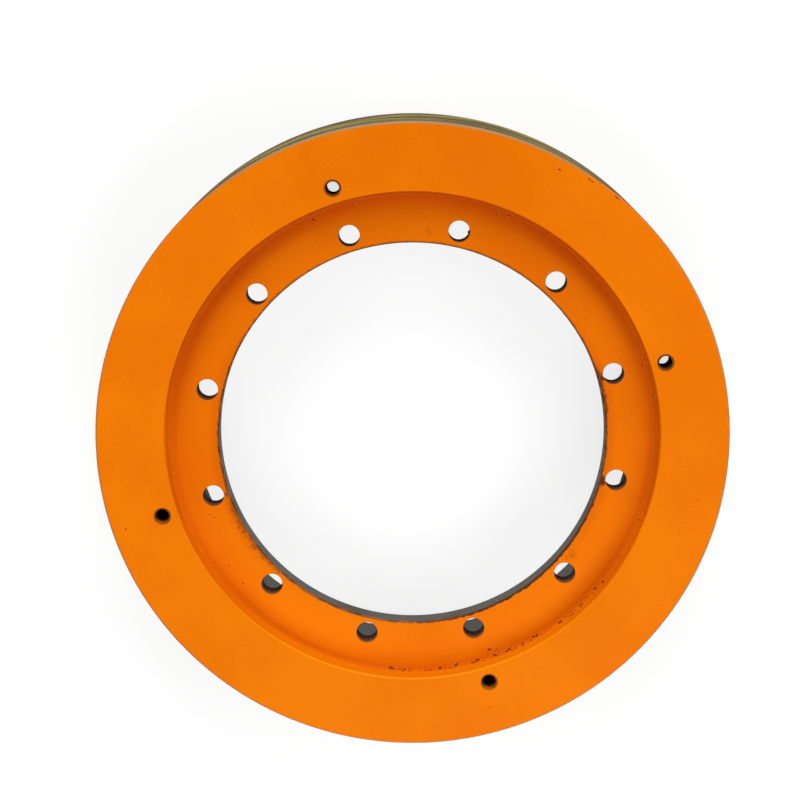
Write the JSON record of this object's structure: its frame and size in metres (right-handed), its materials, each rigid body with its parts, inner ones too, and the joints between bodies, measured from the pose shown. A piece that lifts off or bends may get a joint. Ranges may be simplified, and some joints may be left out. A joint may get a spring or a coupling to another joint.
{
  "type": "wire rope sheave",
  "caption": "Grooved ring for a wire rope drive, with an open bore, a recessed bolting flange and threaded jacking holes in its painted front rim face.",
  "frame": {"origin": "centre of the rear rim face, which the ring rests on", "axes": "+Z along the ring's axis towards the recessed front face, +X through one threaded hole and one bolt hole"},
  "size_m": [0.52, 0.52, 0.11],
  "materials": {
    "sheave": "orange paint on the front face, recess and flange front; bare turned iron on the rim, bore, seat and grooves"
  },
  "bodies": {
    "root": {"sheave_ring": "sheave"}
  },
  "joints": []
}
